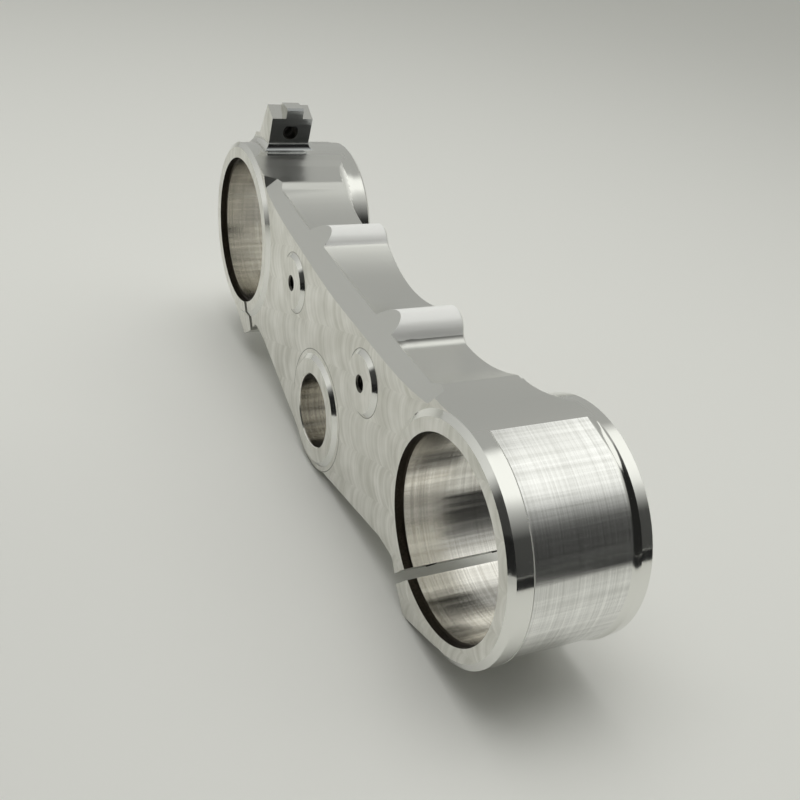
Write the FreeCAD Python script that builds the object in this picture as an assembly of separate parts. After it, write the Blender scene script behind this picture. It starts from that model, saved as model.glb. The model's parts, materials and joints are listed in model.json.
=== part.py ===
import FreeCAD, Part
import math
import os

# Motorcycle triple clamp, machined from one block of aluminium. Millimetres.
# It stands on edge. X runs along the clamp from fork to fork, Y along the bores and Z upwards.
# The origin lies on the axis of the stem bore, halfway along the fork rings.
# FACE is the machined face with the raised pads, REAR is the plain face that looks away.

Vector = FreeCAD.Vector
ALONG_BORE = Vector(0, 1, 0)

# driving dimensions
FORK_SPACING = 194.0
FORK_OFFSET = 25.0
FORK_BORE_D = 59.0
STEM_BORE_D = 27.0
RING_HEIGHT = 44.4
PAD_HEIGHT = 1.3
WEB_THICKNESS = 31.2

# levels along the bores
FACE = -RING_HEIGHT / 2
REAR = RING_HEIGHT / 2
PLATE = FACE + PAD_HEIGHT
WEB_BACK = PLATE + WEB_THICKNESS

# fork rings
RING_WALL = 6.8
RING_R = FORK_BORE_D / 2 + RING_WALL
PAD_EDGE = 2.1
LEAD_IN_LENGTH = 2.4
LEAD_IN_STEP = 0.5
FLANGE_R = RING_R - 0.3
FLANGE_WIDTH = 4.7
FLANGE_START = REAR - FLANGE_WIDTH
REAR_CHAMFER = 1.0
ROOT_RADIUS = 5.0

# shallow band on the outer half of each ring; on the far ring it starts behind the tab
BAND_DEPTH = 0.8
BAND_R = RING_R - BAND_DEPTH
BAND_START = FACE + 6.7
BAND_STEP_LENGTH = 2.3
BAND_END = FLANGE_START - BAND_STEP_LENGTH
BAND_FROM_DEG = {1: 0.0, -1: 36.0}
BAND_CLEARANCE = 3.0

# clamping slit and its two lips, seen from the ring's centre
SLIT_ANGLE_DEG = 51.5
SLIT_WIDTH = 3.3
SLIT_SHIFT = 6.2
EAR_REACH = 41.4
EAR_LENGTH = 9.95
EAR_ROUND = 1.5
LUG_REACH = 40.6
LUG_DEPTH = 5.0
LUG_SLANT = 0.8
LUG_BLOCK_DEPTH = 14.0

# pinch bolts, two M6 to each slit
PINCH_REACH = 33.4
PINCH_SPACING = 24.0
PINCH_SEAT_R = 5.5
PINCH_SEAT_AT = 12.0
PINCH_CLEARANCE_R = 3.3
PINCH_THREAD_R = 2.5
PINCH_THREAD_LENGTH = 12.0
PINCH_SEAT_LENGTH = 30.0

# stem boss
STEM_PAD_R = 20.9
STEM_PAD_EDGE = 1.7
STEM_HUB_R = 22.8
STEM_CHAMFER = 0.4

# small threaded pads
SCREW_X = 33.5
SCREW_Z = FORK_OFFSET + 9.3
SCREW_PAD_R = 11.2
SCREW_PAD_EDGE = 1.6
SCREW_R = 2.5
SCREW_MOUTH_R = 3.0
SCREW_DEPTH = 16.0
DRILL_POINT_DEG = 31.0

# outline of the web, front side upwards
SCOOP_LOW_Z = FORK_OFFSET + 22.9
SCOOP_R = 53.0
RIB_X = 30.5
RIB_Z = FORK_OFFSET + 25.65
RIB_R = 7.1
FLANK_LOW_X = 41.0
FLANK_LOW_Z = FORK_OFFSET + 25.1
FLANK_R = 58.0
SHOULDER_X = 70.2
SHOULDER_MID = (79.1, FORK_OFFSET + RING_R - 2.9)
SHOULDER_END_X = 88.0
FOOT_RADIUS = 4.0
SHOULDER_RADIUS = 3.0
BACK_CHAMFER = 0.7

# outline of the web, rear side
TAIL_APEX_Z = -21.8
TAIL_SLOPE = 0.252
TAIL_END_X = 61.5
LUG_RADIUS = 4.0

# bevel along the front edge of the face
BEVEL_LOW_Z = FORK_OFFSET + 23.0
BEVEL_AT_RIB_Z = FORK_OFFSET + 24.2
BEVEL_AT_FLANK = (60.0, FORK_OFFSET + 26.4)
BEVEL_AT_RING = (73.5, FORK_OFFSET + 29.3)
BEVEL_SLOPE = 1.2
BEVEL_DEPTH = 14.0

# thin ledge that the pockets leave behind the bevel
LEDGE_MIDDLE_Z = FORK_OFFSET + 28.9
LEDGE_POINTS = ((27.0, FORK_OFFSET + 29.2), (48.0, FORK_OFFSET + 29.3), (67.0, FORK_OFFSET + 31.0))
LEDGE_END = (76.0, FORK_OFFSET + 31.6)
LEDGE_EDGE = FACE + 6.2
LEDGE_SLOPE_DEPTH = 7.0

# tab on the ring at negative X, leaning inwards over a raised base, seen from the ring's centre
TAB_WIDTH = 16.8
TAB_CENTRE = FACE + 17.1
TAB_TOP = RING_R + 17.7
TAB_TOP_FRONT = 4.8
TAB_TOP_BACK = -2.6
TAB_TOP_CHAMFER = 0.8
TAB_FOOT_FRONT = 1.4
TAB_BASE_R = RING_R + 4.1
TAB_BASE_FROM_DEG = 14.3
TAB_BASE_TO_DEG = 21.5
TAB_BASE_FOOT_DEG = 30.0
TAB_SINK = 4.0
TAB_SHOULDER_DROP = 4.6
TAB_SHOULDER_SLOPE = 0.462
TAB_RIDGE_WIDTH = 6.9
TAB_RIDGE_SHIFT = 0.7
TAB_HOLE_HEIGHT = RING_R + 7.0
TAB_HOLE_R = 2.5
TAB_HOLE_MOUTH_R = 3.1
TAB_FILLET = 3.2

SIDES = (1, -1)
FAR = 200.0
OVER = 1.0


def at(x, z, y=0.0):
    return Vector(x, y, z)


def disc(x, z, radius, start, end):
    return Part.makeCylinder(radius, end - start, at(x, z, start), ALONG_BORE)


def taper(x, z, radius_start, radius_end, start, end):
    return Part.makeCone(radius_start, radius_end, end - start, at(x, z, start), ALONG_BORE)


def prism(wire, start, end):
    face = Part.Face(wire)
    face.translate(ALONG_BORE * start)
    return face.extrude(ALONG_BORE * (end - start))


def line(a, b):
    return Part.LineSegment(a, b).toShape()


def arc(a, middle, b):
    return Part.Arc(a, middle, b).toShape()


def joined(edges):
    return Part.Wire(Part.__sortEdges__(edges))


def both_sides(shape):
    return [shape, shape.mirror(Vector(0, 0, 0), Vector(1, 0, 0))]


def circle_height(x, centre_x, centre_z, radius):
    return centre_z + math.sqrt(radius ** 2 - (x - centre_x) ** 2)


def meet(centre_a, radius_a, centre_b, radius_b, pick):
    """Crossing of two circles; pick chooses one of the two by its sign."""
    ax, az = centre_a
    bx, bz = centre_b
    gap = math.hypot(bx - ax, bz - az)
    along = (radius_a ** 2 - radius_b ** 2 + gap ** 2) / (2 * gap)
    across = pick * math.sqrt(radius_a ** 2 - along ** 2)
    ux, uz = (bx - ax) / gap, (bz - az) / gap
    return ax + along * ux - across * uz, az + along * uz + across * ux


# clamping directions at a ring: along the slit, and across it towards the stem
def slit_axes(side):
    angle = math.radians(SLIT_ANGLE_DEG)
    along = Vector(-side * math.cos(angle), 0, -math.sin(angle))
    across = Vector(-side * math.sin(angle), 0, math.cos(angle))
    return along, across


def ring_centre(side):
    return Vector(side * FORK_SPACING / 2, 0, FORK_OFFSET)


def ring_point(side, along_slit, across_slit):
    along, across = slit_axes(side)
    return ring_centre(side) + along * along_slit + across * across_slit


def front_edges():
    """Half of the front outline, from the middle of the scoop to the ring."""
    scoop_centre = (0.0, SCOOP_LOW_Z + SCOOP_R)
    flank_centre = (FLANK_LOW_X, FLANK_LOW_Z + FLANK_R)
    rib = (RIB_X, RIB_Z)
    inner_foot = meet(rib, RIB_R, scoop_centre, SCOOP_R, 1)
    outer_foot = meet(rib, RIB_R, flank_centre, FLANK_R, -1)
    shoulder_z = flank_centre[1] - math.sqrt(FLANK_R ** 2 - (SHOULDER_X - FLANK_LOW_X) ** 2)
    scoop_mid_x = inner_foot[0] / 2
    scoop_mid_z = scoop_centre[1] - math.sqrt(SCOOP_R ** 2 - scoop_mid_x ** 2)
    flank_mid_x = (outer_foot[0] + SHOULDER_X) / 2
    flank_mid_z = flank_centre[1] - math.sqrt(FLANK_R ** 2 - (flank_mid_x - FLANK_LOW_X) ** 2)
    end_z = circle_height(SHOULDER_END_X, FORK_SPACING / 2, FORK_OFFSET, RING_R)
    return [
        arc(at(0, SCOOP_LOW_Z), at(scoop_mid_x, scoop_mid_z), at(*inner_foot)),
        arc(at(*inner_foot), at(RIB_X, RIB_Z + RIB_R), at(*outer_foot)),
        arc(at(*outer_foot), at(flank_mid_x, flank_mid_z), at(SHOULDER_X, shoulder_z)),
        arc(at(SHOULDER_X, shoulder_z), at(*SHOULDER_MID), at(SHOULDER_END_X, end_z)),
        line(at(SHOULDER_END_X, end_z), ring_centre(1)),
    ]


def rear_edges():
    """Half of the rear outline, from the ring along the lug and back to the middle."""
    lug_side = -SLIT_SHIFT + SLIT_WIDTH / 2
    lug_root = ring_point(1, 0, lug_side)
    lug_end = ring_point(1, LUG_REACH, lug_side)
    lug_back = ring_point(1, LUG_REACH - LUG_SLANT, lug_side + LUG_DEPTH)
    tail_end = at(TAIL_END_X, TAIL_APEX_Z + TAIL_SLOPE * TAIL_END_X)
    points = [ring_centre(1), lug_root, lug_end, lug_back, tail_end, at(0, TAIL_APEX_Z)]
    return [line(a, b) for a, b in zip(points[:-1], points[1:])]


def upright_edges(solid, x, z, reach=0.6):
    """Edges along the bores that stand at a place in the outline."""
    found = []
    for edge in solid.Edges:
        ends = [vertex.Point for vertex in edge.Vertexes]
        if len(ends) == 2 and abs(ends[0].y - ends[1].y) > 1:
            if all(math.hypot(p.x - x, p.z - z) < reach for p in ends):
                found.append(edge)
    return found


def rounded(solid, places):
    for x, z, radius in places:
        for side in SIDES:
            solid = solid.makeFillet(radius, upright_edges(solid, side * x, z))
    return solid


def web_outline():
    edges = []
    for edge in front_edges() + rear_edges():
        edges += both_sides(edge)
    return joined(edges)


def web_prism(start, end):
    solid = prism(web_outline(), start, end)
    scoop_centre = (0.0, SCOOP_LOW_Z + SCOOP_R)
    flank_centre = (FLANK_LOW_X, FLANK_LOW_Z + FLANK_R)
    inner_foot = meet((RIB_X, RIB_Z), RIB_R, scoop_centre, SCOOP_R, 1)
    outer_foot = meet((RIB_X, RIB_Z), RIB_R, flank_centre, FLANK_R, -1)
    shoulder_z = flank_centre[1] - math.sqrt(FLANK_R ** 2 - (SHOULDER_X - FLANK_LOW_X) ** 2)
    lug_back = ring_point(1, LUG_REACH - LUG_SLANT, -SLIT_SHIFT + SLIT_WIDTH / 2 + LUG_DEPTH)
    return rounded(solid, [
        (*inner_foot, FOOT_RADIUS),
        (*outer_foot, FOOT_RADIUS),
        (SHOULDER_X, shoulder_z, SHOULDER_RADIUS),
        (lug_back.x, lug_back.z, LUG_RADIUS),
    ])


def fronted_face(points, ring_z):
    """Flat face of the whole clamp whose front edge is a smooth curve through half its points."""
    left = [Vector(-p.x, 0, p.z) for p in reversed(points) if p.x > 0]
    spline = Part.BSplineCurve()
    spline.interpolate(points + left)
    corners = [left[-1], at(-FAR, ring_z), at(-FAR, -FAR), at(FAR, -FAR), at(FAR, ring_z), points[0]]
    edges = [spline.toShape()] + [line(a, b) for a, b in zip(corners[:-1], corners[1:])]
    return Part.Face(Part.Wire(edges))


def bevel_keep():
    """Oblique block that leaves the bevel along the front edge of the face."""
    points = [at(*BEVEL_AT_RING), at(*BEVEL_AT_FLANK), at(RIB_X, BEVEL_AT_RIB_Z), at(0, BEVEL_LOW_Z)]
    face = fronted_face(points, FORK_OFFSET + FORK_SPACING)
    face.translate(ALONG_BORE * PLATE)
    return face.extrude(Vector(0, BEVEL_DEPTH, BEVEL_DEPTH / BEVEL_SLOPE))


def ledge():
    """Ledge between the forks: a smooth outline, sloping back at 45 degrees into the pockets."""
    points = [at(*LEDGE_END)] + [at(*p) for p in reversed(LEDGE_POINTS)] + [at(0, LEDGE_MIDDLE_Z)]
    left = [Vector(-p.x, 0, p.z) for p in reversed(points) if p.x > 0]
    spline = Part.BSplineCurve()
    spline.interpolate(points + left)
    base = [left[-1], at(-LEDGE_END[0], FORK_OFFSET), at(LEDGE_END[0], FORK_OFFSET), points[0]]
    edges = [spline.toShape()] + [line(a, b) for a, b in zip(base[:-1], base[1:])]
    face = Part.Face(Part.Wire(edges))
    face.translate(ALONG_BORE * PLATE)
    rim = face.extrude(ALONG_BORE * (LEDGE_EDGE - PLATE))
    face.translate(ALONG_BORE * (LEDGE_EDGE - PLATE))
    slope = face.extrude(Vector(0, LEDGE_SLOPE_DEPTH, -LEDGE_SLOPE_DEPTH))
    return rim.fuse(slope)


def back_edges(solid):
    """Edges of the front outline at the back of the web, outside the rings."""
    found = []
    for edge in solid.Edges:
        middle = edge.valueAt((edge.FirstParameter + edge.LastParameter) / 2)
        if abs(middle.x) < SHOULDER_END_X and edge.BoundBox.ZMin > FORK_OFFSET:
            if abs(edge.BoundBox.YMin - WEB_BACK) < 0.1:
                found.append(edge)
    return found


def web():
    front = web_prism(PLATE, PLATE + BEVEL_DEPTH).fuse(ledge()).common(bevel_keep())
    back = web_prism(PLATE + BEVEL_DEPTH, WEB_BACK)
    back = back.makeChamfer(BACK_CHAMFER, back_edges(back))
    hub = disc(0, 0, STEM_HUB_R, PLATE, WEB_BACK)
    return front.fuse([back, hub])


def turned(side, profile, sweep=360.0):
    """Solid of revolution about a ring's axis; the profile is (radius, y) points or edges."""
    centre = ring_centre(side)
    face = Part.Face(profile)
    face.translate(centre)
    return face.revolve(centre, ALONG_BORE, sweep)


def profile_wire(points):
    """Closed wire through (radius, y) points, drawn straight up from the axis."""
    corners = [Vector(0, y, radius) for radius, y in points]
    return Part.makePolygon(corners + corners[:1])


def ring_body(side):
    """Ring with its raised, bevelled pad, the plain rear flange and the chamfer behind."""
    return turned(side, profile_wire([
        (0, FACE),
        (RING_R - PAD_EDGE, FACE),
        (RING_R, PLATE),
        (RING_R, FLANGE_START),
        (FLANGE_R, FLANGE_START),
        (FLANGE_R, REAR - REAR_CHAMFER),
        (FLANGE_R - REAR_CHAMFER, REAR),
        (0, REAR),
    ]))


def ring_root(side, outline):
    """Hollow fillet from the back of the web up the ring."""
    bottom = Vector(0, WEB_BACK, RING_R + ROOT_RADIUS)
    top = Vector(0, WEB_BACK + ROOT_RADIUS, RING_R)
    quarter = ROOT_RADIUS * (1 - math.sqrt(0.5))
    middle = Vector(0, WEB_BACK + quarter, RING_R + quarter)
    inner = FORK_BORE_D / 2
    start = WEB_BACK - BACK_CHAMFER
    foot = Vector(0, start, RING_R + ROOT_RADIUS)
    wire = Part.Wire([
        line(Vector(0, start, inner), foot),
        line(foot, bottom),
        arc(bottom, middle, top),
        line(top, Vector(0, WEB_BACK + ROOT_RADIUS, inner)),
        line(Vector(0, WEB_BACK + ROOT_RADIUS, inner), Vector(0, start, inner)),
    ])
    return turned(side, wire).common(outline)


def ear_touch():
    """Corner of the ear across the slit, and the turn from the slit to where its run leaves the ring."""
    corner_across = -SLIT_SHIFT - SLIT_WIDTH / 2 - EAR_LENGTH
    corner_reach = math.hypot(EAR_REACH, corner_across)
    turn = math.atan2(corner_across, EAR_REACH) - math.acos(FLANGE_R / corner_reach)
    return corner_across, turn


def band_profile():
    """Section of the band, with a hollow step behind, drawn straight up from the axis."""
    outside = RING_R + BAND_CLEARANCE
    radius = (BAND_STEP_LENGTH ** 2 + BAND_DEPTH ** 2) / (2 * BAND_DEPTH)
    turn = math.asin(BAND_STEP_LENGTH / radius) / 2
    low = Vector(0, BAND_END, BAND_R)
    high = Vector(0, FLANGE_START, RING_R)
    middle = Vector(0, BAND_END + radius * math.sin(turn), BAND_R + radius * (1 - math.cos(turn)))
    return Part.Wire([
        line(Vector(0, BAND_START, BAND_R), low),
        arc(low, middle, high),
        line(high, Vector(0, FLANGE_START, outside)),
        line(Vector(0, FLANGE_START, outside), Vector(0, BAND_START, outside)),
        line(Vector(0, BAND_START, outside), Vector(0, BAND_START, BAND_R)),
    ])


def band_cut(side):
    """Shallow band round the outer side of a ring; at both ends it runs out along its tangent."""
    run_out = math.sqrt(RING_R ** 2 - BAND_R ** 2)
    run_out_deg = math.degrees(math.acos(BAND_R / RING_R))
    ear_deg = 270 - SLIT_ANGLE_DEG + math.degrees(ear_touch()[1])
    start_deg = side * (BAND_FROM_DEG[side] + run_out_deg)
    end_deg = side * (ear_deg - run_out_deg)
    centre = ring_centre(side)
    ends = []
    for degrees, onward in ((start_deg, -1), (end_deg, 1)):
        face = Part.Face(band_profile())
        face.translate(centre)
        face.rotate(centre, ALONG_BORE, degrees)
        turn = math.radians(degrees)
        tangent = Vector(math.cos(turn), 0, -math.sin(turn)) * side * onward
        ends.append(face.extrude(tangent * (run_out + OVER)))
        if onward < 0:
            round_part = face.revolve(centre, ALONG_BORE, end_deg - start_deg)
    return round_part.fuse(ends)


def ear(side):
    """Outer lip of the slit: an end square to the slit, then a run tangent to the ring."""
    slit_side = -SLIT_SHIFT - SLIT_WIDTH / 2
    corner_across, touch_turn = ear_touch()
    touch_along = FLANGE_R * math.cos(touch_turn)
    touch_across = FLANGE_R * math.sin(touch_turn)
    outline = [
        ring_point(side, 0, slit_side),
        ring_point(side, EAR_REACH, slit_side),
        ring_point(side, EAR_REACH, corner_across),
        ring_point(side, touch_along, touch_across),
        ring_centre(side),
    ]
    solid = prism(Part.makePolygon(outline + outline[:1]), PLATE, REAR)
    corner = ring_point(side, EAR_REACH, corner_across)
    return solid.makeFillet(EAR_ROUND, upright_edges(solid, corner.x, corner.z))


def lug(side, outline):
    """Inner lip of the slit, as high as the ring, cut from the web's outline."""
    lug_side = -SLIT_SHIFT + SLIT_WIDTH / 2
    corners = [
        ring_point(side, 0, lug_side),
        ring_point(side, LUG_REACH + OVER, lug_side),
        ring_point(side, LUG_REACH + OVER, lug_side + LUG_BLOCK_DEPTH),
        ring_point(side, 0, lug_side + LUG_BLOCK_DEPTH),
    ]
    block = prism(Part.makePolygon(corners + corners[:1]), PLATE, REAR)
    return block.common(outline)


def slit_cut(side):
    far = FORK_BORE_D
    corners = [
        ring_point(side, 0, -SLIT_SHIFT + SLIT_WIDTH / 2),
        ring_point(side, far, -SLIT_SHIFT + SLIT_WIDTH / 2),
        ring_point(side, far, -SLIT_SHIFT - SLIT_WIDTH / 2),
        ring_point(side, 0, -SLIT_SHIFT - SLIT_WIDTH / 2),
    ]
    return prism(Part.makePolygon(corners + corners[:1]), FACE - OVER, REAR + OVER)


def fork_bore_cut(side):
    """Fork bore with a short wider lead-in at the face and a small chamfer behind."""
    bore = FORK_BORE_D / 2
    mouth = bore + LEAD_IN_STEP
    return turned(side, profile_wire([
        (0, FACE - OVER),
        (mouth, FACE - OVER),
        (mouth, FACE + LEAD_IN_LENGTH),
        (bore, FACE + LEAD_IN_LENGTH + LEAD_IN_STEP),
        (bore, REAR - REAR_CHAMFER),
        (bore + REAR_CHAMFER, REAR),
        (bore + REAR_CHAMFER, REAR + OVER),
        (0, REAR + OVER),
    ]))


def pinch_cuts(side):
    """Seat and clearance hole in the ear, thread in the lug, for each pinch bolt."""
    along, across = slit_axes(side)
    slit_side = -SLIT_SHIFT - SLIT_WIDTH / 2
    cuts = []
    for step in (-0.5, 0.5):
        level = Vector(0, step * PINCH_SPACING, 0)
        seat = ring_point(side, PINCH_REACH, slit_side - PINCH_SEAT_AT) + level
        mouth = ring_point(side, PINCH_REACH, slit_side) + level
        cuts.append(Part.makeCylinder(PINCH_SEAT_R, PINCH_SEAT_LENGTH, seat, -across))
        cuts.append(Part.makeCylinder(PINCH_CLEARANCE_R, PINCH_SEAT_AT + OVER, mouth + across, -across))
        cuts.append(Part.makeCylinder(PINCH_THREAD_R, SLIT_WIDTH + PINCH_THREAD_LENGTH, mouth, across))
    return cuts


def stem_boss():
    front = taper(0, 0, STEM_PAD_R - STEM_PAD_EDGE, STEM_PAD_R, FACE, PLATE)
    back = taper(0, 0, STEM_PAD_R, STEM_PAD_R - STEM_PAD_EDGE, WEB_BACK, WEB_BACK + PAD_HEIGHT)
    return [front, back]


def stem_bore_cut():
    radius = STEM_BORE_D / 2
    end = WEB_BACK + PAD_HEIGHT
    edge = radius + STEM_CHAMFER
    return [
        disc(0, 0, radius, FACE - OVER, end + OVER),
        taper(0, 0, edge, radius, FACE, FACE + STEM_CHAMFER),
        taper(0, 0, radius, edge, end - STEM_CHAMFER, end),
    ]


def screw_pad(side):
    x = side * SCREW_X
    return taper(x, SCREW_Z, SCREW_PAD_R - SCREW_PAD_EDGE, SCREW_PAD_R, FACE, PLATE)


def screw_cut(side):
    x = side * SCREW_X
    mouth = SCREW_MOUTH_R - SCREW_R
    point = SCREW_R * math.tan(math.radians(DRILL_POINT_DEG))
    return [
        disc(x, SCREW_Z, SCREW_R, FACE - OVER, FACE + SCREW_DEPTH),
        taper(x, SCREW_Z, SCREW_MOUTH_R, SCREW_R, FACE, FACE + mouth),
        taper(x, SCREW_Z, SCREW_R, 0, FACE + SCREW_DEPTH, FACE + SCREW_DEPTH + point),
    ]


def tab_point(forward, upward, y=0.0):
    """Place seen from the centre of the ring at negative X; forward is towards the stem."""
    return Vector(forward - FORK_SPACING / 2, y, upward + FORK_OFFSET)


def back_point(radius, degrees):
    turn = math.radians(degrees)
    return tab_point(-radius * math.sin(turn), radius * math.cos(turn))


def tab_front(upward):
    """How far forward the leaning front of the tab stands at a height."""
    return TAB_FOOT_FRONT + (TAB_TOP_FRONT - TAB_FOOT_FRONT) * (upward - RING_R) / (TAB_TOP - RING_R)


def tab_outline():
    """Leaning tab on its raised base, which follows the ring."""
    sunk = RING_R - TAB_SINK
    corner = TAB_TOP - TAB_TOP_CHAMFER
    base_turn = (TAB_BASE_FROM_DEG + TAB_BASE_TO_DEG) / 2
    points = [
        back_point(TAB_BASE_R, TAB_BASE_TO_DEG),
        back_point(RING_R, TAB_BASE_FOOT_DEG),
        back_point(sunk, TAB_BASE_FOOT_DEG),
        tab_point(tab_front(sunk), sunk),
        tab_point(tab_front(corner), corner),
        tab_point(tab_front(corner) - TAB_TOP_CHAMFER, TAB_TOP),
        tab_point(TAB_TOP_BACK, TAB_TOP),
        back_point(TAB_BASE_R, TAB_BASE_FROM_DEG),
    ]
    edges = [line(a, b) for a, b in zip(points[:-1], points[1:])]
    edges.append(arc(points[-1], back_point(TAB_BASE_R, base_turn), points[0]))
    return Part.Wire(edges)


def tab_notches():
    """Room over the two sloping shoulders, one on each side of the ridge."""
    low = TAB_FOOT_FRONT + TAB_TOP_FRONT
    high = TAB_TOP_BACK - OVER
    front_z = TAB_TOP - TAB_SHOULDER_DROP
    low_z = front_z - (low - TAB_TOP_FRONT) * TAB_SHOULDER_SLOPE
    high_z = front_z - (high - TAB_TOP_FRONT) * TAB_SHOULDER_SLOPE
    top = high_z + OVER
    points = [tab_point(low, low_z), tab_point(high, high_z), tab_point(high, top), tab_point(low, top)]
    slope = Part.Face(Part.makePolygon(points + points[:1]))
    notches = []
    for side in SIDES:
        notch = slope.extrude(ALONG_BORE * side * TAB_WIDTH)
        notch.translate(ALONG_BORE * (TAB_CENTRE + TAB_RIDGE_SHIFT + side * TAB_RIDGE_WIDTH / 2))
        notches.append(notch)
    return notches


def tab():
    """Tab with its base, and a hollow fillet round its foot."""
    body = prism(tab_outline(), TAB_CENTRE - TAB_WIDTH / 2, TAB_CENTRE + TAB_WIDTH / 2)
    body = body.cut(tab_notches())
    centre = ring_centre(-1)
    solid = disc(centre.x, centre.z, RING_R, FACE, REAR).fuse(body)
    core = disc(centre.x, centre.z, RING_R - OVER, FACE, REAR)
    length = TAB_WIDTH + 2 * TAB_FILLET
    back = -RING_R * math.sin(math.radians(BAND_FROM_DEG[-1]))
    front = TAB_FOOT_FRONT + 2 * TAB_FILLET
    corner = tab_point(back, RING_R / 2, TAB_CENTRE - length / 2)
    foot = Part.makeBox(front - back, length, TAB_TOP, corner)
    return solid.makeFillet(TAB_FILLET, foot_edges(solid, body)).cut(core).common(foot)


def foot_edges(solid, body):
    """Edges where the tab meets the round of the ring."""
    found = []
    for edge in solid.Edges:
        middle = edge.valueAt((edge.FirstParameter + edge.LastParameter) / 2)
        reach = (middle - ring_centre(-1) - ALONG_BORE * middle.y).Length
        if abs(reach - RING_R) < 0.01 and body.BoundBox.isInside(middle):
            found.append(edge)
    return found


def tab_hole():
    front = tab_front(TAB_HOLE_HEIGHT)
    start = tab_point(TAB_TOP_FRONT, TAB_HOLE_HEIGHT, TAB_CENTRE)
    mouth = tab_point(front, TAB_HOLE_HEIGHT, TAB_CENTRE)
    depth = TAB_HOLE_MOUTH_R - TAB_HOLE_R
    wide = tab_point(front + depth, TAB_HOLE_HEIGHT, TAB_CENTRE)
    away = Vector(-1, 0, 0)
    length = TAB_TOP_FRONT + RING_R / 2
    return [
        Part.makeCylinder(TAB_HOLE_R, length, start, away),
        Part.makeCone(TAB_HOLE_MOUTH_R + depth, TAB_HOLE_R, 2 * depth, wide, away),
    ]


def clamp_body():
    outline = web_prism(FACE, REAR)
    parts = [ring_body(side) for side in SIDES]
    parts += [ring_root(side, outline) for side in SIDES]
    parts += [ear(side) for side in SIDES]
    parts += [lug(side, outline) for side in SIDES]
    parts += [screw_pad(side) for side in SIDES]
    parts += stem_boss()
    solid = web().fuse(parts)
    cuts = []
    for side in SIDES:
        cuts += [band_cut(side), slit_cut(side), fork_bore_cut(side)]
        cuts += pinch_cuts(side)
        cuts += screw_cut(side)
    solid = solid.cut(cuts)
    solid = solid.fuse(tab()).removeSplitter()
    solid = solid.cut(tab_hole() + stem_bore_cut())
    return solid


def main():
    os.makedirs("parts", exist_ok=True)
    solid = clamp_body()
    box = solid.BoundBox
    print("valid", solid.isValid(), "solids", len(solid.Solids), "volume cm3", solid.Volume / 1000)
    print("size", box.XLength, box.YLength, box.ZLength, "low z", box.ZMin)
    solid.Solids[0].exportStep("parts/clamp_body.step")


main()
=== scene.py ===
# %% [markdown]
# # A motorcycle triple clamp in machined aluminium
# The clamp is milled and turned from one block, so one mesh is the whole object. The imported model
# gives its true shape. This lesson breaks its edges as a deburring tool does, gives each surface
# the marks of the cutter that made it, puts threads into the small holes and lights it softly.

# %% Load the frame
import json
import math

import bmesh
import bpy
from mathutils import Matrix, Vector


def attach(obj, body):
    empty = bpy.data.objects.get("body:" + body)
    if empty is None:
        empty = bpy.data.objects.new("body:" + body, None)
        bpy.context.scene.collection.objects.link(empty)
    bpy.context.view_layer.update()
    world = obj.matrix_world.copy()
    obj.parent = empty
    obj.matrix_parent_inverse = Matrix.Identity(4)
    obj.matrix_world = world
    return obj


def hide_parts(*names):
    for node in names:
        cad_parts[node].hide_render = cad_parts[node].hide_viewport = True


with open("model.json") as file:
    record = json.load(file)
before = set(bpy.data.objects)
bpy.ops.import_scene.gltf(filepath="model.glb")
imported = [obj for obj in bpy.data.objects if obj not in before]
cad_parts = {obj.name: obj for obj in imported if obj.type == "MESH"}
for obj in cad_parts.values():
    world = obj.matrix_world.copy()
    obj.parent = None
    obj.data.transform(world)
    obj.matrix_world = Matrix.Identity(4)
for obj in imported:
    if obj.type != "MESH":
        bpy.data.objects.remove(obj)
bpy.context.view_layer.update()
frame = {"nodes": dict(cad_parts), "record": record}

MM = 0.001

# %% [markdown]
# ## The places that the looks need
# All marks follow the bores and the holes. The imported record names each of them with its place,
# its axis and its radius, so nothing is measured twice. The levels along the bores are the same
# driving dimensions as the clamp's own. Everything is in millimetres.

# %% Holes and levels
class Hole:
    def __init__(self, mount):
        self.place = Vector(mount["pos_m"]) / MM
        self.axis = Vector(mount["axis"])
        self.radius = mount["dims"]["r_mm"]
        self.length = mount["dims"]["length_mm"]

    def distance(self, point):
        """How far a point lies from the axis of the hole."""
        away = point - self.place
        return (away - self.axis * away.dot(self.axis)).length

    def along(self, point):
        """How far a point lies from the middle of the hole, measured along it."""
        return abs((point - self.place).dot(self.axis))


holes = {mount["name"]: Hole(mount) for mount in frame["record"]["mounts"]}
fork_bores = [holes["fork_bore_a"], holes["fork_bore_b"]]
stem_bore = holes["stem_bore"]
pad_holes = [holes["pad_hole_a"], holes["pad_hole_b"]]
pinch_holes = [hole for name, hole in holes.items() if name.startswith("pinch_thread")]
tapped_holes = pad_holes + pinch_holes + [holes["tab_hole"]]

RING_R = 36.3
STEM_PAD_R = 22.6
SCREW_PAD_R = 11.2
FACE = -22.2
PLATE = FACE + 1.3
STEM_HUB_R = 22.8
print("holes:", {name: round(hole.radius, 2) for name, hole in holes.items()})

# %% [markdown]
# ## A clean copy of the clamp
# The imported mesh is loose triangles. A copy has its doubles merged, so that it is one closed skin
# whose flat faces and round walls can be shaded, marked and edged each in its own way.

# %% Copy and merge
MERGE_MM = 0.001


def merged_copy(node, name):
    mesh = node.data.copy()
    mesh.name = name
    if "custom_normal" in mesh.attributes:
        mesh.attributes.remove(mesh.attributes["custom_normal"])
    piece = bpy.data.objects.new(name, mesh)
    bpy.context.scene.collection.objects.link(piece)
    skin = bmesh.new()
    skin.from_mesh(mesh)
    bmesh.ops.remove_doubles(skin, verts=skin.verts, dist=MERGE_MM * MM)
    skin.to_mesh(mesh)
    skin.free()
    return piece


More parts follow.
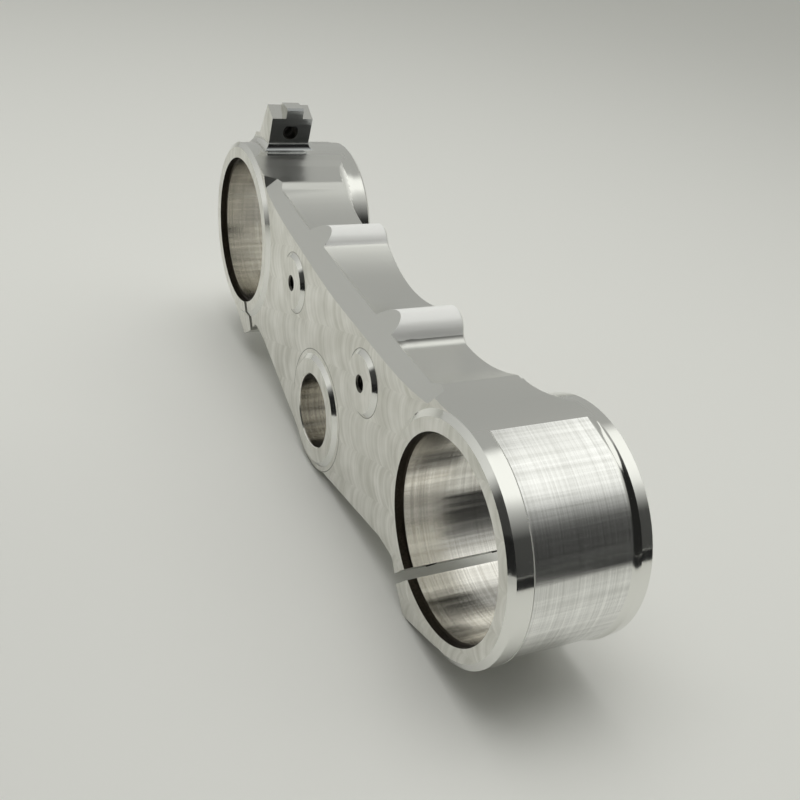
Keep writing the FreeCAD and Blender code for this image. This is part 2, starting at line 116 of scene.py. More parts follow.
clamp = merged_copy(frame["nodes"]["clamp_body"], "machined_clamp")
print("merged skin:", len(clamp.data.vertices), "corners,", len(clamp.data.polygons), "faces")

# %% [markdown]
# ## Broken edges
# A machined part has every sharp edge broken by a small chamfer, which shows as a thin bright line.
# The flat faces are first joined back from their triangles, so that a Bevel modifier meets only
# the real corners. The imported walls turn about 7 degrees from facet to facet, and the flattest
# real corner, on a pad's bevel, turns 31 degrees.

# %% Join flat faces and break the edges
FLAT_DEG = 0.2
CORNER_DEG = 27.0
EDGE_BREAK_MM = 0.2


def join_flat_faces(piece, flat_deg):
    skin = bmesh.new()
    skin.from_mesh(piece.data)
    bmesh.ops.dissolve_limit(
        skin, angle_limit=math.radians(flat_deg), verts=skin.verts, edges=skin.edges
    )
    skin.to_mesh(piece.data)
    skin.free()


def shade_walls(piece, corner_deg):
    for face in piece.data.polygons:
        face.use_smooth = True
    piece.data.set_sharp_from_angle(angle=math.radians(corner_deg))


def break_edges(piece, width_mm, corner_deg):
    bevel = piece.modifiers.new("edge_break", "BEVEL")
    bevel.width = width_mm * MM
    bevel.segments = 2
    bevel.limit_method = "ANGLE"
    bevel.angle_limit = math.radians(corner_deg)
    bevel.use_clamp_overlap = True
    bevel.harden_normals = True


join_flat_faces(clamp, FLAT_DEG)
shade_walls(clamp, CORNER_DEG)
sharp = sum(edge.use_edge_sharp for edge in clamp.data.edges)
print("sharp edges:", sharp, "faces:", len(clamp.data.polygons))
break_edges(clamp, EDGE_BREAK_MM, CORNER_DEG)

# %% [markdown]
# ## Which cutter made which surface
# Every face of the skin belongs to one kind of machining, told by where it lies and which way it
# looks: the milled plate, the satin walls of the web, the pale crests of its two ribs, the turned
# bores and rings, the shallow band round each ring, the relief at the mouth of each fork bore,
# coloured dark as painted shade, the tapped holes, and the front of the tab. Painting faces by hand
# would be lost when the clamp's sizes change. Sorting them by the bores and the levels isn't.

# %% Levels and limits
BAND_LOW_R = RING_R - 1.1
BAND_HIGH_R = RING_R - 0.12
BAND_START = FACE + 6.7
BAND_END = FACE + 37.4
BAND_SIDE_X = fork_bores[0].place.x - 12
RELIEF_END = FACE + 2.9
TAB_FOOT_Z = fork_bores[1].place.z + RING_R - 0.5
TAB_FROM_X = fork_bores[1].place.x + 8
RIBS = ((30.5, 50.65), (-30.5, 50.65))
CREST_R = 7.3

# how far the middle of a face may lie from the true surface, in mm
NEAR_THREAD = 0.45
PAST_THREAD = 2.0
NEAR_FORK_BORE = 1.2
NEAR_STEM_BORE = 0.5
NEAR_PAD = 0.3
NEAR_PLATE = 0.1
NEAR_LAND = 0.05
LAND_OVERLAP = 0.3

# limits for the direction of a face, as shares of its normal
FLAT_ENOUGH = 0.98
RADIAL_ENOUGH = 0.97
FRONT_FACING = 0.55
FACING_UP = 0.3
LEVEL_ENOUGH = 0.1
print("band from", round(BAND_START, 1), "to", round(BAND_END, 1), "mm along the bore")

# %% Sort the faces
KINDS = (
    "milled_plate", "milled_web", "rib_crest", "turned_ring", "turned_band", "turned_bore",
    "painted_shade_relief", "tapped_wall", "tab_front",
)


def on_tapped_wall(place, normal):
    for hole in tapped_holes:
        near = hole.distance(place) < hole.radius + NEAR_THREAD
        within = hole.along(place) < hole.length / 2 + PAST_THREAD
        if near and within and abs(normal.dot(hole.axis)) < FLAT_ENOUGH:
            return True
    return False


def in_band(place, from_ring):
    deep = BAND_LOW_R < from_ring < BAND_HIGH_R
    return deep and BAND_START < place.y < BAND_END and abs(place.x) > BAND_SIDE_X


def on_pad_bevel(place):
    from_pad = min(hole.distance(place) for hole in pad_holes)
    near = from_pad < SCREW_PAD_R + NEAR_PAD or stem_bore.distance(place) < STEM_HUB_R
    return place.y < PLATE + NEAR_PLATE and near


def on_land(place, normal, ring):
    """On one of the two full-width lands beside a ring's band, and looking away from its axis."""
    out = Vector((place.x - ring.place.x, 0, place.z - ring.place.z)).normalized()
    faces_out = out.dot(Vector((normal.x, 0, normal.z)).normalized()) > RADIAL_ENOUGH
    at_end = not BAND_START + LAND_OVERLAP < place.y < BAND_END - LAND_OVERLAP
    return ring.distance(place) < RING_R + NEAR_LAND and at_end and faces_out


def on_crest(place, normal):
    from_rib = min(math.hypot(place.x - x, place.z - z) for x, z in RIBS)
    return from_rib < CREST_R and normal.z > FACING_UP and abs(normal.y) < LEVEL_ENOUGH


def kind_of_surface(face):
    place, normal = face.center / MM, face.normal
    if on_tapped_wall(place, normal):
        return "tapped_wall"
    if abs(normal.y) > FLAT_ENOUGH:
        return "milled_plate"
    ring = min(fork_bores, key=lambda bore: bore.distance(place))
    from_ring = ring.distance(place)
    if from_ring < ring.radius + NEAR_FORK_BORE:
        return "painted_shade_relief" if place.y < RELIEF_END else "turned_bore"
    if stem_bore.distance(place) < stem_bore.radius + NEAR_STEM_BORE:
        return "turned_bore"
    if in_band(place, from_ring):
        return "turned_band"
    on_tab = place.x < TAB_FROM_X and place.z > TAB_FOOT_Z
    if on_tab and normal.x > FRONT_FACING:
        return "tab_front"
    if on_tab or on_land(place, normal, ring) or on_pad_bevel(place):
        return "turned_ring"
    return "rib_crest" if on_crest(place, normal) else "milled_web"


def mark_borders(piece):
    """Where two kinds of machining meet there is a corner, however flat, so it is shaded sharp."""
    kinds = {}
    for face in piece.data.polygons:
        for key in face.edge_keys:
            kinds.setdefault(key, set()).add(face.material_index)
    for edge in piece.data.edges:
        if len(kinds[edge.key]) > 1:
            edge.use_edge_sharp = True


# %% [markdown]
# ## Aluminium, and one helper
# Colours are written as sRGB hex values and turned to linear by one function. One more function
# adds a node with its settings and whatever feeds it. Bare aluminium is a pale grey metal with
# nearly no hue, so the finishes differ in roughness and bump far more than in colour.

# %% Colour and node helpers
# sockets of a Mix node, which has one set for values and one for colours under the same names
FACTOR, VALUE_A, VALUE_B = 0, 2, 3
COLOUR_A, COLOUR_B, COLOUR_OUT = 6, 7, 2
MATT = 0.9


def linear(hex_colour):
    channels = [int(hex_colour[i:i + 2], 16) / 255 for i in (1, 3, 5)]
    return [c / 12.92 if c <= 0.04045 else ((c + 0.055) / 1.055) ** 2.4 for c in channels] + [1.0]


def add(tree, kind, inputs=(), **settings):
    """Adds a node. Inputs come by name or in order, each a plain value or another node's socket."""
    node = tree.nodes.new(kind)
    for key, value in settings.items():
        setattr(node, key, value)
    for key, value in inputs.items() if isinstance(inputs, dict) else enumerate(inputs):
        if isinstance(value, bpy.types.NodeSocket):
            tree.links.new(value, node.inputs[key])
        elif value is not None:
            node.inputs[key].default_value = value
    return node


def metal(name, hex_colour, roughness):
    material = bpy.data.materials.new(name)
    material.use_nodes = True
    shader = material.node_tree.nodes["Principled BSDF"]
    shader.inputs["Base Color"].default_value = linear(hex_colour)
    shader.inputs["Metallic"].default_value = 1.0
    shader.inputs["Roughness"].default_value = roughness
    return material


# %% [markdown]
# ## Marks of the cutters
# A side mill leaves straight ripples along its own axis, which here is the axis of the bores. A
# turning tool leaves fine rings round it. Both are the same noise, stretched one way or the other:
# the ripples are long along Y and short across it, the rings are short along Y and long across.
# Real rings are 0.1 to 0.2 mm apart, finer than a pixel of the picture, so they are drawn
# coarser, at 0.5 to 0.8 mm, as coarse as they need to be to show.

# %% Ripples and rings
# a noise keeps mostly between these two, and the sum of two noises between the next two
NOISE_LOW, NOISE_HIGH = 0.3, 0.7
SUM_LOW, SUM_HIGH = 0.75, 1.25
TORN_LINE_MM = 0.35
TORN_ROUGHNESS = 0.7


def stretched_noise(tree, along_mm, across_mm, detail=3.0):
    place = add(tree, "ShaderNodeTexCoord").outputs["Object"]
    scale = (1 / (across_mm * MM), 1 / (along_mm * MM), 1 / (across_mm * MM))
    stretched = add(tree, "ShaderNodeMapping", {"Vector": place, "Scale": scale}).outputs["Vector"]
    feeds = {"Vector": stretched, "Scale": 1.0, "Detail": detail}
    return add(tree, "ShaderNodeTexNoise", feeds).outputs["Fac"]


def relief(material, layers, low, high):
    """Adds layers of (height, depth in mm) as bumps. The first also spreads the roughness."""
    tree = material.node_tree
    shader = tree.nodes["Principled BSDF"]
    normal = None
    for height, depth_mm in layers:
        feeds = {"Height": height, "Distance": depth_mm * MM, "Strength": 1.0, "Normal": normal}
        normal = add(tree, "ShaderNodeBump", feeds).outputs["Normal"]
    tree.links.new(normal, shader.inputs["Normal"])
    feeds = {"Value": layers[0][0], "To Min": low, "To Max": high}
    feeds.update({"From Min": NOISE_LOW, "From Max": NOISE_HIGH})
    spread = add(tree, "ShaderNodeMapRange", feeds).outputs["Result"]
    tree.links.new(spread, shader.inputs["Roughness"])


def streak(material, ripples, rings, dark, light):
    """Colours a turned wall by its ripples and its rings, as a wall rubbed brighter in places."""
    tree = material.node_tree
    both = add(tree, "ShaderNodeMath", (ripples, rings), operation="ADD").outputs[0]
    shade = add(tree, "ShaderNodeMapRange", (both, SUM_LOW, SUM_HIGH, 0.0, 1.0)).outputs["Result"]
    mix = {FACTOR: shade, COLOUR_A: linear(dark), COLOUR_B: linear(light)}
    colour = add(tree, "ShaderNodeMix", mix, data_type="RGBA").outputs[COLOUR_OUT]
    tree.links.new(colour, tree.nodes["Principled BSDF"].inputs["Base Color"])


def rough_line(material, level_mm):
    """A dull line round the ring at one level, where the tool stopped and left a torn edge."""
    tree = material.node_tree
    shader = tree.nodes["Principled BSDF"]
    place = add(tree, "ShaderNodeTexCoord").outputs["Object"]
    level = add(tree, "ShaderNodeSeparateXYZ", (place,)).outputs["Y"]
    line = (level, level_mm * MM, TORN_LINE_MM * MM)
    on_line = add(tree, "ShaderNodeMath", line, operation="COMPARE").outputs[0]
    before = shader.inputs["Roughness"].links[0].from_socket
    mix = {FACTOR: on_line, VALUE_A: before, VALUE_B: TORN_ROUGHNESS}
    mixed = add(tree, "ShaderNodeMix", mix).outputs[0]
    tree.links.new(mixed, shader.inputs["Roughness"])


# %% [markdown]
# ## The milled plate
# The face of the clamp was cleared by an end mill that ran to and fro, and each turn of it left
# an arc. The arcs are circles shifted along the pass: the place along the pass plus the circle's
# own reach. Real arcs are a few tenths of a millimetre apart. These are 2.4 mm apart, far
# coarser than real ones, because finer ones don't show in the picture. The mill also left a slight
# step at the foot of every pad on the front face, and its shade is painted there as a thin dark
# line.

# %% Plate with cutter arcs
CUTTER_R = 8.0
PASS_WIDTH = 13.0
FEED_MM = 2.4
CLOUD_MM = 11.0
FOOT_LINE_MM = 0.16
RING_FOOT_R = RING_R - 0.6
SCREW_FOOT_R = SCREW_PAD_R + 0.1
PASS_TURNED_DEG = 24
PLATE_SUM_LOW, PLATE_SUM_HIGH = 0.7, 1.3
FOOTS = [(bore, RING_FOOT_R) for bore in fork_bores]
FOOTS += [(hole, SCREW_FOOT_R) for hole in pad_holes] + [(stem_bore, STEM_PAD_R)]


def cutter_arcs(tree, turned_deg):
    place = add(tree, "ShaderNodeTexCoord").outputs["Object"]
    turn = (0, math.radians(turned_deg), 0)
    feeds = {"Vector": place, "Rotation": turn, "Scale": (1 / MM,) * 3}
    on_pass = add(tree, "ShaderNodeMapping", feeds).outputs["Vector"]
    split = add(tree, "ShaderNodeSeparateXYZ", (on_pass,)).outputs
    half = PASS_WIDTH / 2
    wrap = (split["Z"], half, -half)
    across = add(tree, "ShaderNodeMath", wrap, operation="WRAP").outputs[0]
    square = add(tree, "ShaderNodeMath", (across, across), operation="MULTIPLY").outputs[0]
    rest = (CUTTER_R ** 2, square)
    under = add(tree, "ShaderNodeMath", rest, operation="SUBTRACT").outputs[0]
    reach = add(tree, "ShaderNodeMath", (under,), operation="SQRT").outputs[0]
    along = add(tree, "ShaderNodeMath", (split["X"], reach), operation="ADD").outputs[0]
    row = add(tree, "ShaderNodeMath", (split["Z"], across), operation="SUBTRACT").outputs[0]
    spot = add(tree, "ShaderNodeCombineXYZ", (along, row, 0.0)).outputs[0]
    arcs = {"Vector": spot, "Scale": 1 / FEED_MM, "Detail": 2.0}
    return add(tree, "ShaderNodeTexNoise", arcs, noise_dimensions="2D").outputs["Fac"]


def painted_foot_shade(tree):
    """One where a pad's foot meets the plate on the front face, nought elsewhere: the mask of a
    painted shade line.
    """
    place = add(tree, "ShaderNodeTexCoord").outputs["Object"]
    feeds = {"Vector": place, "Scale": (1 / MM, 0, 1 / MM)}
    flat = add(tree, "ShaderNodeMapping", feeds).outputs["Vector"]
    lines = 0.0
    for hole, radius in FOOTS:
        ends = (flat, (hole.place.x, 0, hole.place.z))
        away = add(tree, "ShaderNodeVectorMath", ends, operation="DISTANCE").outputs["Value"]
        near = (away, radius, FOOT_LINE_MM)
        line = add(tree, "ShaderNodeMath", near, operation="COMPARE").outputs[0]
        lines = add(tree, "ShaderNodeMath", (lines, line), operation="MAXIMUM").outputs[0]
    level = add(tree, "ShaderNodeSeparateXYZ", (place,)).outputs["Y"]
    in_front = add(tree, "ShaderNodeMath", (level, 0.0), operation="LESS_THAN").outputs[0]
    return add(tree, "ShaderNodeMath", (lines, in_front), operation="MULTIPLY").outputs[0]


# End-milled aluminium: bright but not a mirror, mottled, with faint arcs.
plate = metal("end_milled_aluminium", "#ECEBE5", 0.32)
tree = plate.node_tree
arcs = cutter_arcs(tree, PASS_TURNED_DEG)
cloud = stretched_noise(tree, CLOUD_MM, CLOUD_MM, 2.0)
relief(plate, [(arcs, 0.008), (cloud, 0.12)], 0.28, 0.38)
tone = add(tree, "ShaderNodeMath", (arcs, cloud), operation="ADD").outputs[0]
feeds = (tone, PLATE_SUM_LOW, PLATE_SUM_HIGH, 0.0, 1.0)
shade = add(tree, "ShaderNodeMapRange", feeds).outputs["Result"]
mix = {FACTOR: shade, COLOUR_A: linear("#D2D1C9"), COLOUR_B: linear("#F0EFEA")}
mottled = add(tree, "ShaderNodeMix", mix, data_type="RGBA").outputs[COLOUR_OUT]
# Painted shade: a thin dark line at each pad's foot, standing in for the shade of the mill's small
# step.
mix = {FACTOR: painted_foot_shade(tree), COLOUR_A: mottled, COLOUR_B: linear("#8E8D86")}
plate_colour = add(tree, "ShaderNodeMix", mix, data_type="RGBA").outputs[COLOUR_OUT]
tree.links.new(plate_colour, tree.nodes["Principled BSDF"].inputs["Base Color"])
print("plate:", len(tree.nodes), "nodes, with a foot line round", len(FOOTS), "pads")

# %% [markdown]
# ## The web and the rib crests
# The walls of the web are satin, because a long side mill rubs as it cuts. The crests of the two
# ribs are bare metal too, yet the photograph shows them far whiter than this room makes a metal
# crest. Their finish is therefore set mostly non-metallic, so that the lamp overhead whitens it.
# That is a stand-in for their shine and not what the surface is made of.

# %% Web and crests
CREST_METALLIC = 0.12

# Side-milled aluminium: a soft even grey, with hardly visible ripples along the cut.
web = metal("side_milled_aluminium", "#E6E6E2", 0.33)
relief(web, [(stretched_noise(web.node_tree, 60, 1.5), 0.004)], 0.3, 0.36)

# Crests: pale and satin, rippled along the cut, see above for the metallic value.
crest = metal("rib_crest_aluminium", "#FAFAF7", 0.4)
crest.node_tree.nodes["Principled BSDF"].inputs["Metallic"].default_value = CREST_METALLIC
relief(crest, [(stretched_noise(crest.node_tree, 60, 1.2), 0.06)], 0.3, 0.45)
print("web and crests:", web.name, crest.name)

# %% [markdown]
# ## The turned rings, their bands and the bores
# The land at each end of a ring is close to a mirror. The shallow band between the lands, and the
# walls of the bores, carry fine rings and streaks along the bore. A torn line at the band's front
# edge catches the light. One finish for all of them would lose the black strips that only the
# lands show, so each has its own.

# %% Rings, bands and bores
# Polished turning: nearly a mirror, so it shows the dark and light parts of the room sharply.
ring = metal("polished_turning_aluminium", "#ECECE8", 0.08)
relief(ring, [(stretched_noise(ring.node_tree, 0.8, 30), 0.001)], 0.07, 0.13)
rough_line(ring, BAND_START)

# Rippled band: bright streaks along the bore, crossed by fine rings.
band = metal("rippled_band_aluminium", "#ECECE9", 0.2)
tree = band.node_tree
layers = [(stretched_noise(tree, 60, 2.6), 0.035), (stretched_noise(tree, 0.5, 25), 0.004)]
relief(band, layers, 0.12, 0.24)
ripples, rings = stretched_noise(tree, 90, 1.6), stretched_noise(tree, 0.6, 40)
streak(band, ripples, rings, "#D6D6D3", "#FBFBF9")
rough_line(band, BAND_START)

# Bored wall: the same look, a little warmer and darker, as in the photograph. The warmth is a
# painted reflection of the table, and the darkness is painted shade inside the bore.
bore = metal("bored_aluminium", "#E2DFD8", 0.2)
tree = bore.node_tree
layers = [(stretched_noise(tree, 50, 1.6), 0.03), (stretched_noise(tree, 0.6, 25), 0.006)]
relief(bore, layers, 0.12, 0.26)
ripples, rings = stretched_noise(tree, 60, 1.8), stretched_noise(tree, 0.7, 40)
streak(bore, ripples, rings, "#CFCCC5", "#F8F6F1")
print("turned finishes:", ring.name, band.name, bore.name)

# %% [markdown]
# ## Painted shade in the relief and the tapped holes, and the tab
# The small relief at the mouth of each fork bore is coloured brown black as painted shade of the
# recess. The tapped holes are coloured dark as painted shade. The front of the tab is bare metal
# that looks dark in the photograph, where it mirrors something dark. This room doesn't hold that,
# so the finish has a darker colour instead. That is a painted reflection, and it stays dark from
# every side.

# %% Relief, threads and tab, and every finish on its faces
# Relief at the mouth of each fork bore: brown black and rough, with lighter grains. The dark colour
# is painted shade of the recess.
relief_shade = metal("painted_shade_relief_aluminium", "#2A2521", 0.45)
tree = relief_shade.node_tree
grains = stretched_noise(tree, 0.6, 0.6, 4.0)
mix = {FACTOR: grains, COLOUR_A: linear("#0E0C0A"), COLOUR_B: linear("#4C463D")}
relief_shade_colour = add(tree, "ShaderNodeMix", mix, data_type="RGBA").outputs[COLOUR_OUT]
tree.links.new(relief_shade_colour, tree.nodes["Principled BSDF"].inputs["Base Color"])

# Tapped wall: dull, and coloured dark as painted shade, so a small hole reads as deep.
tapped = metal("painted_shade_tapped_aluminium", "#5A5853", 0.35)

# Painted reflection: smooth metal with a greyed colour standing in for a dark reflection, see
# above.
tab_front = metal("painted_reflection_tab_aluminium", "#B4B6B7", 0.16)
relief(tab_front, [(stretched_noise(tab_front.node_tree, 40, 1.2), 0.01)], 0.12, 0.22)

finishes = (plate, web, crest, ring, band, bore, relief_shade, tapped, tab_front)
clamp.data.materials.clear()
for finish in finishes:
    clamp.data.materials.append(finish)
for face in clamp.data.polygons:
    face.material_index = KINDS.index(kind_of_surface(face))
mark_borders(clamp)
for number, kind in enumerate(KINDS):
    print(kind, sum(face.material_index == number for face in clamp.data.polygons), "faces")
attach(clamp, "root")
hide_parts("clamp_body")

# %% [markdown]
# ## Threads
# Seven holes are tapped for M6 screws, whose thread has a pitch of 1 mm. A thread repeats, so
# Geometry Nodes make it: a coil with a three-sided section is put at every hole and turned to its
# axis. A bump on the wall would be cheaper, but it wouldn't stand out at the mouth of a hole. The
# drilled wall stays as it is, and the coil stands a little out of it.

# %% Thread tree
THREAD_PITCH = 1.0
THREAD_DEPTH = 0.34
TURN_STEPS = 24


def thread_tree(finish):
    tree = bpy.data.node_groups.new("tapped_threads", "GeometryNodeTree")
    tree.interface.new_socket(name="Holes", in_out="INPUT", socket_type="NodeSocketGeometry")
    for name in ("Radius", "Pitch", "Length", "Depth"):
        tree.interface.new_socket(name=name, in_out="INPUT", socket_type="NodeSocketFloat")
    tree.interface.new_socket(name="Threads", in_out="OUTPUT", socket_type="NodeSocketGeometry")
    given = add(tree, "NodeGroupInput").outputs
    parts = (given["Length"], given["Pitch"])
    turns = add(tree, "ShaderNodeMath", parts, operation="DIVIDE").outputs[0]
    shape = {"Resolution": TURN_STEPS, "Rotations": turns, "Height": given["Length"]}
    shape.update({"Start Radius": given["Radius"], "End Radius": given["Radius"]})
    coil = add(tree, "GeometryNodeCurveSpiral", shape).outputs["Curve"]
    ridge_shape = {"Resolution": 3, "Radius": given["Depth"]}
    section = add(tree, "GeometryNodeCurvePrimitiveCircle", ridge_shape).outputs["Curve"]
    ridge = {"Curve": coil, "Profile Curve": section, "Fill Caps": True}
    thread = add(tree, "GeometryNodeCurveToMesh", ridge).outputs["Mesh"]
    named = {"Name": "axis"}
    axis = add(tree, "GeometryNodeInputNamedAttribute", named, data_type="FLOAT_VECTOR")
    feeds = {"Vector": axis.outputs["Attribute"]}
    turned = add(tree, "FunctionNodeAlignRotationToVector", feeds, axis="Z").outputs["Rotation"]
    places = {"Points": given["Holes"], "Instance": thread, "Rotation": turned}
    put = add(tree, "GeometryNodeInstanceOnPoints", places).outputs["Instances"]
    solid = add(tree, "GeometryNodeRealizeInstances", (put,)).outputs["Geometry"]
    paint = {"Geometry": solid, "Material": finish}
    painted = add(tree, "GeometryNodeSetMaterial", paint).outputs["Geometry"]
    add(tree, "NodeGroupOutput", (painted,))
    return tree


def tap(name, tree, group):
    """Threads for holes of one length, as one plain mesh."""
    length = group[0].length
    mesh = bpy.data.meshes.new(name)
    mesh.from_pydata([(hole.place - hole.axis * length / 2) * MM for hole in group], [], [])
    axes = mesh.attributes.new("axis", "FLOAT_VECTOR", "POINT")
    for spot, hole in zip(axes.data, group):
        spot.vector = hole.axis
    piece = bpy.data.objects.new(name, mesh)
    bpy.context.scene.collection.objects.link(piece)
    nodes = piece.modifiers.new("threads", "NODES")
    nodes.node_group = tree
    sizes = {"Radius": group[0].radius, "Length": length}
    sizes.update({"Pitch": THREAD_PITCH, "Depth": THREAD_DEPTH})
    for socket in tree.interface.items_tree:
        if socket.name in sizes:
            nodes[socket.identifier] = sizes[socket.name] * MM
    made = piece.evaluated_get(bpy.context.evaluated_depsgraph_get())
    result = bpy.data.meshes.new_from_object(made)
    piece.modifiers.remove(nodes)
    skin = bmesh.new()
    skin.from_mesh(result)
    bmesh.ops.recalc_face_normals(skin, faces=skin.faces)
    skin.to_mesh(result)
    skin.free()
    result.name = name
    piece.data = result
    return piece


# %% [markdown]
# ## Tap the holes
# A tree has one length for all its holes, so the pads, the tab and the pinch screws, whose holes
# differ in depth, each get a mesh of their own.

# %% Tap the holes
threads = thread_tree(tapped)
groups = {
    "pad_threads": pad_holes,
    "tab_thread": [holes["tab_hole"]],
    "pinch_threads": pinch_holes,
}
for name, group in groups.items():
    piece = tap(name, threads, group)
    print(name, len(piece.data.polygons), "faces")
    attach(piece, "root")

# %% [markdown]
# ## How it lies
# The clamp stands on edge on a table. It touches with its hub and with the ear of one ring, so
# in its own frame the table leans by a few degrees.

# %% Table
TABLE_SIZE = 8.0
STEEPEST_DEG = 15
HALVINGS = 40
EAR_FROM_X = 50


def lean_of_table(piece):
    """Angle at which a plane under the hub also meets the ear at positive X."""
    low, high = 0.0, math.radians(STEEPEST_DEG)
    ear = [v.co for v in piece.data.vertices if v.co.x > EAR_FROM_X * MM]
    for _ in range(HALVINGS):
        lean = (low + high) / 2
        lift = min(p.z * math.cos(lean) - p.x * math.sin(lean) for p in ear) + STEM_HUB_R * MM
        low, high = (lean, high) if lift > 0 else (low, lean)
    return lean


table_lean = lean_of_table(clamp)
print("the table leans", round(math.degrees(table_lean), 2), "degrees")

bpy.ops.mesh.primitive_plane_add(size=TABLE_SIZE)
table = bpy.context.object
table.name = "table"
table.rotation_euler = (0, -table_lean, 0)
table.location = Vector((math.sin(table_lean), 0, -math.cos(table_lean))) * STEM_HUB_R * MM
paper = bpy.data.materials.new("pale_table_paper")
paper.use_nodes = True
paper_shader = paper.node_tree.nodes["Principled BSDF"]
paper_shader.inputs["Base Color"].default_value = linear("#E9E9E4")
paper_shader.inputs["Roughness"].default_value = MATT
table.data.materials.append(paper)

# %% [markdown]
# ## The camera
# The camera stands where the photograph was taken from. Its place and turn were solved from the
# outlines of the rings and the web, so that the model lies over the photograph. A guess by eye
# would do for a picture, but not for comparing shapes.

# %% Camera
PHOTO_SIDE = 800
PHOTO_FOCAL = 950.4
SENSOR_MM = 36.0
CAMERA_PLACE = Vector((258.6, -138.3, 200.1)) * MM
CAMERA_FORWARD = Vector((-0.71728, 0.42057, -0.55554))
CAMERA_RIGHT = Vector((0.40619, 0.90019, 0.15705))

lens = bpy.data.cameras.new("photo_camera")
lens.sensor_width = SENSOR_MM
lens.lens = PHOTO_FOCAL / PHOTO_SIDE * SENSOR_MM
lens.clip_start = 0.01
camera = bpy.data.objects.new("photo_camera", lens)
bpy.context.scene.collection.objects.link(camera)
up = CAMERA_RIGHT.cross(CAMERA_FORWARD)
turn = Matrix((CAMERA_RIGHT, up, -CAMERA_FORWARD)).transposed()
camera.matrix_world = Matrix.Translation(CAMERA_PLACE) @ turn.to_4x4()
bpy.context.scene.camera = camera
print("focal length", round(lens.lens, 1), "mm")

# %% [markdown]
# ## A soft studio
# Polished metal shows the room, so the room is drawn as values round the horizon, set so that the
# metal is about as light or dark as in the photograph. It is black on the camera's side,
# white behind the clamp on its right, grey elsewhere, and pale towards the left front. The white
# ends upwards in a slanted border, which is the line where the tops of the metal turn from grey
# to white. The camera itself sees a plain pale backdrop.

# %% Values of the room
ROOM_LIGHT = 1.12
GREY = 0.375
PANEL_SLANT = (0.45, 1.0, -0.42)
PANEL_EDGE = 0.03
LOW_WALL = 0.45
HIGH_WALL = 0.78
CEILING_FROM = 0.94
CEILING_EDGE = 0.02
# degrees round, brightness of the wall at the height of the table, and higher up
WALLS = (
    (-180, 0.38, 0.38), (-140, 0.5, 0.38), (-108, 0.7, 0.38), (-98, 0.05, 0.2), (-60, 0.02, 0.05),
    (-44, 0.015, 0.015), (26, 0.015, 0.015), (30, 0.05, 0.3), (46, 0.06, 0.6), (58, 0.35, 1.0),
    (70, 0.6, 1.0), (118, 0.6, 1.0), (128, 0.38, 0.38), (180, 0.38, 0.38),
)
BACKDROP = "#C6C7C0"

print("room:", len(WALLS), "values round the horizon")

# %% Room
world = bpy.data.worlds.new("studio")
bpy.context.scene.world = world
world.use_nodes = True
sky = world.node_tree
looking = add(sky, "ShaderNodeTexCoord").outputs["Generated"]
level = {"Vector": looking, "Angle": table_lean}
way = add(sky, "ShaderNodeVectorRotate", level, rotation_type="Y_AXIS").outputs["Vector"]
split = add(sky, "ShaderNodeSeparateXYZ", (way,)).outputs
round_way = add(sky, "ShaderNodeMath", (split["Y"], split["X"]), operation="ARCTAN2").outputs[0]
azimuth = add(sky, "ShaderNodeMapRange", (round_way, -math.pi, math.pi, 0.0, 1.0)).outputs[0]
walls = add(sky, "ShaderNodeValToRGB", (azimuth,))
stops = walls.color_ramp.elements
while len(stops) < len(WALLS):
    stops.new(0.5)
for stop, (degrees, low, high) in zip(stops, WALLS):
    stop.position = (degrees + 180) / 360
    stop.color = (low, high, 0.0, 1.0)
wall = add(sky, "ShaderNodeSeparateColor", (walls.outputs["Color"],)).outputs
dot = add(sky, "ShaderNodeVectorMath", (way, PANEL_SLANT), operation="DOT_PRODUCT")
slant = dot.outputs["Value"]
cap = add(sky, "ShaderNodeMapRange", (slant, -PANEL_EDGE, PANEL_EDGE, GREY, 1.0)).outputs[0]
high_wall = add(sky, "ShaderNodeMath", (wall["Green"], cap), operation="MINIMUM").outputs[0]
up_wall = add(sky, "ShaderNodeMapRange", (split["Z"], LOW_WALL, HIGH_WALL, 0.0, 1.0)).outputs[0]
mix = {FACTOR: up_wall, VALUE_A: wall["Red"], VALUE_B: high_wall}
wall_value = add(sky, "ShaderNodeMix", mix).outputs[0]
rise = (split["Z"], CEILING_FROM, CEILING_FROM + CEILING_EDGE, 0.0, 1.0)
overhead = add(sky, "ShaderNodeMapRange", rise).outputs[0]
mix = {FACTOR: overhead, VALUE_A: wall_value, VALUE_B: 1.0}
value = add(sky, "ShaderNodeMix", mix).outputs[0]
glow = add(sky, "ShaderNodeMath", (value, ROOM_LIGHT), operation="MULTIPLY").outputs[0]
room = add(sky, "ShaderNodeBackground", {"Color": linear("#FCFDF8"), "Strength": glow}).outputs[0]
backdrop = sky.nodes["Background"]
backdrop.inputs["Color"].default_value = linear(BACKDROP)
seen = add(sky, "ShaderNodeLightPath").outputs["Is Camera Ray"]
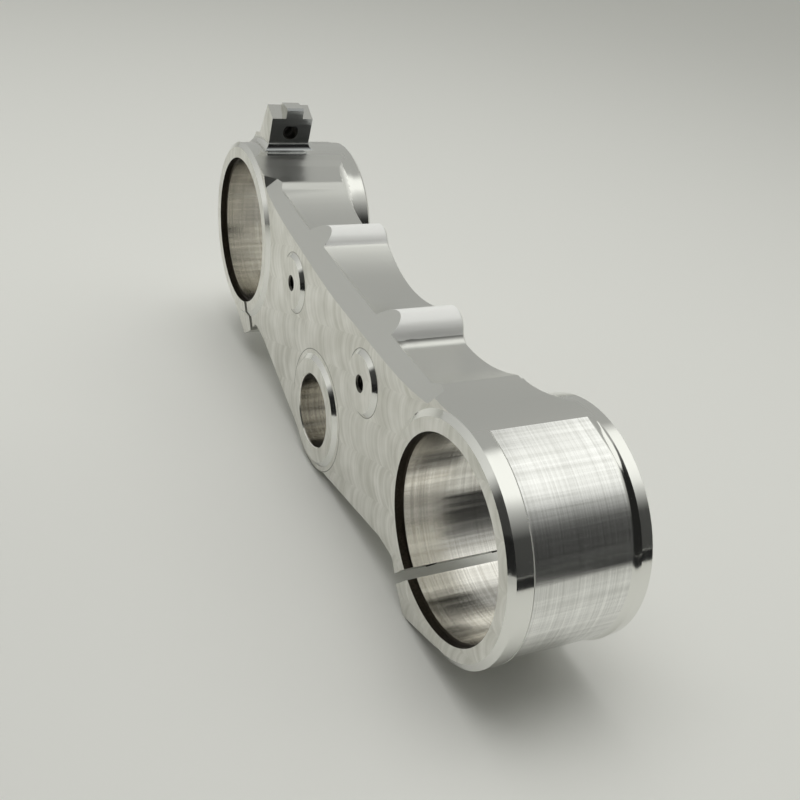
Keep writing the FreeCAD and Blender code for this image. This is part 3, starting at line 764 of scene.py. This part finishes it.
both = add(sky, "ShaderNodeMixShader", (seen, room, backdrop.outputs[0])).outputs[0]
sky.links.new(both, sky.nodes["World Output"].inputs["Surface"])
bpy.context.scene.view_settings.view_transform = "Standard"
print("room:", len(sky.nodes), "nodes")

# %% [markdown]
# ## Lamp and dark cards
# A large soft lamp overhead lights the table evenly and leaves a soft shadow under the near ring.
# It is kept out of mirror reflections, because the photograph's metal shows no lamp. Black cards
# stand on the table to the right and in front, and the camera doesn't see them. They end the pale
# table in the reflections, as the far edge of a real table does.

# %% Lamp
LAMP_PLACE = (-0.12, -0.08, 0.95)
LAMP_SIZE = 0.8
LAMP_WATTS = 4.3

lamp_data = bpy.data.lights.new("overhead_softbox", "AREA")
lamp_data.size = LAMP_SIZE
lamp_data.energy = LAMP_WATTS
lamp = bpy.data.objects.new("overhead_softbox", lamp_data)
lamp.location = LAMP_PLACE
lamp.rotation_euler = (-Vector(LAMP_PLACE)).to_track_quat("-Z", "Y").to_euler()
lamp.visible_glossy = False
bpy.context.scene.collection.objects.link(lamp)
print("lamp:", LAMP_WATTS, "W,", LAMP_SIZE, "m wide")

# %% Dark cards
CARD_HEIGHT = 0.048
CARDS = (((0.34, 0.42), (0.42, -0.16)), ((0.42, -0.16), (-0.06, -0.17)))

black_card = bpy.data.materials.new("black_card")
black_card.use_nodes = True
card_shader = black_card.node_tree.nodes["Principled BSDF"]
card_shader.inputs["Base Color"].default_value = linear("#1A1A1C")
card_shader.inputs["Roughness"].default_value = MATT
for number, ((x1, y1), (x2, y2)) in enumerate(CARDS):
    mesh = bpy.data.meshes.new("card_%d" % number)
    corners = [(x1, y1, 0), (x2, y2, 0), (x2, y2, CARD_HEIGHT), (x1, y1, CARD_HEIGHT)]
    mesh.from_pydata(corners, [], [(0, 1, 2, 3)])
    mesh.materials.append(black_card)
    card = bpy.data.objects.new("card_%d" % number, mesh)
    card.matrix_world = table.matrix_world
    bpy.context.scene.collection.objects.link(card)
    card.visible_camera = False
print("cards:", len(CARDS))
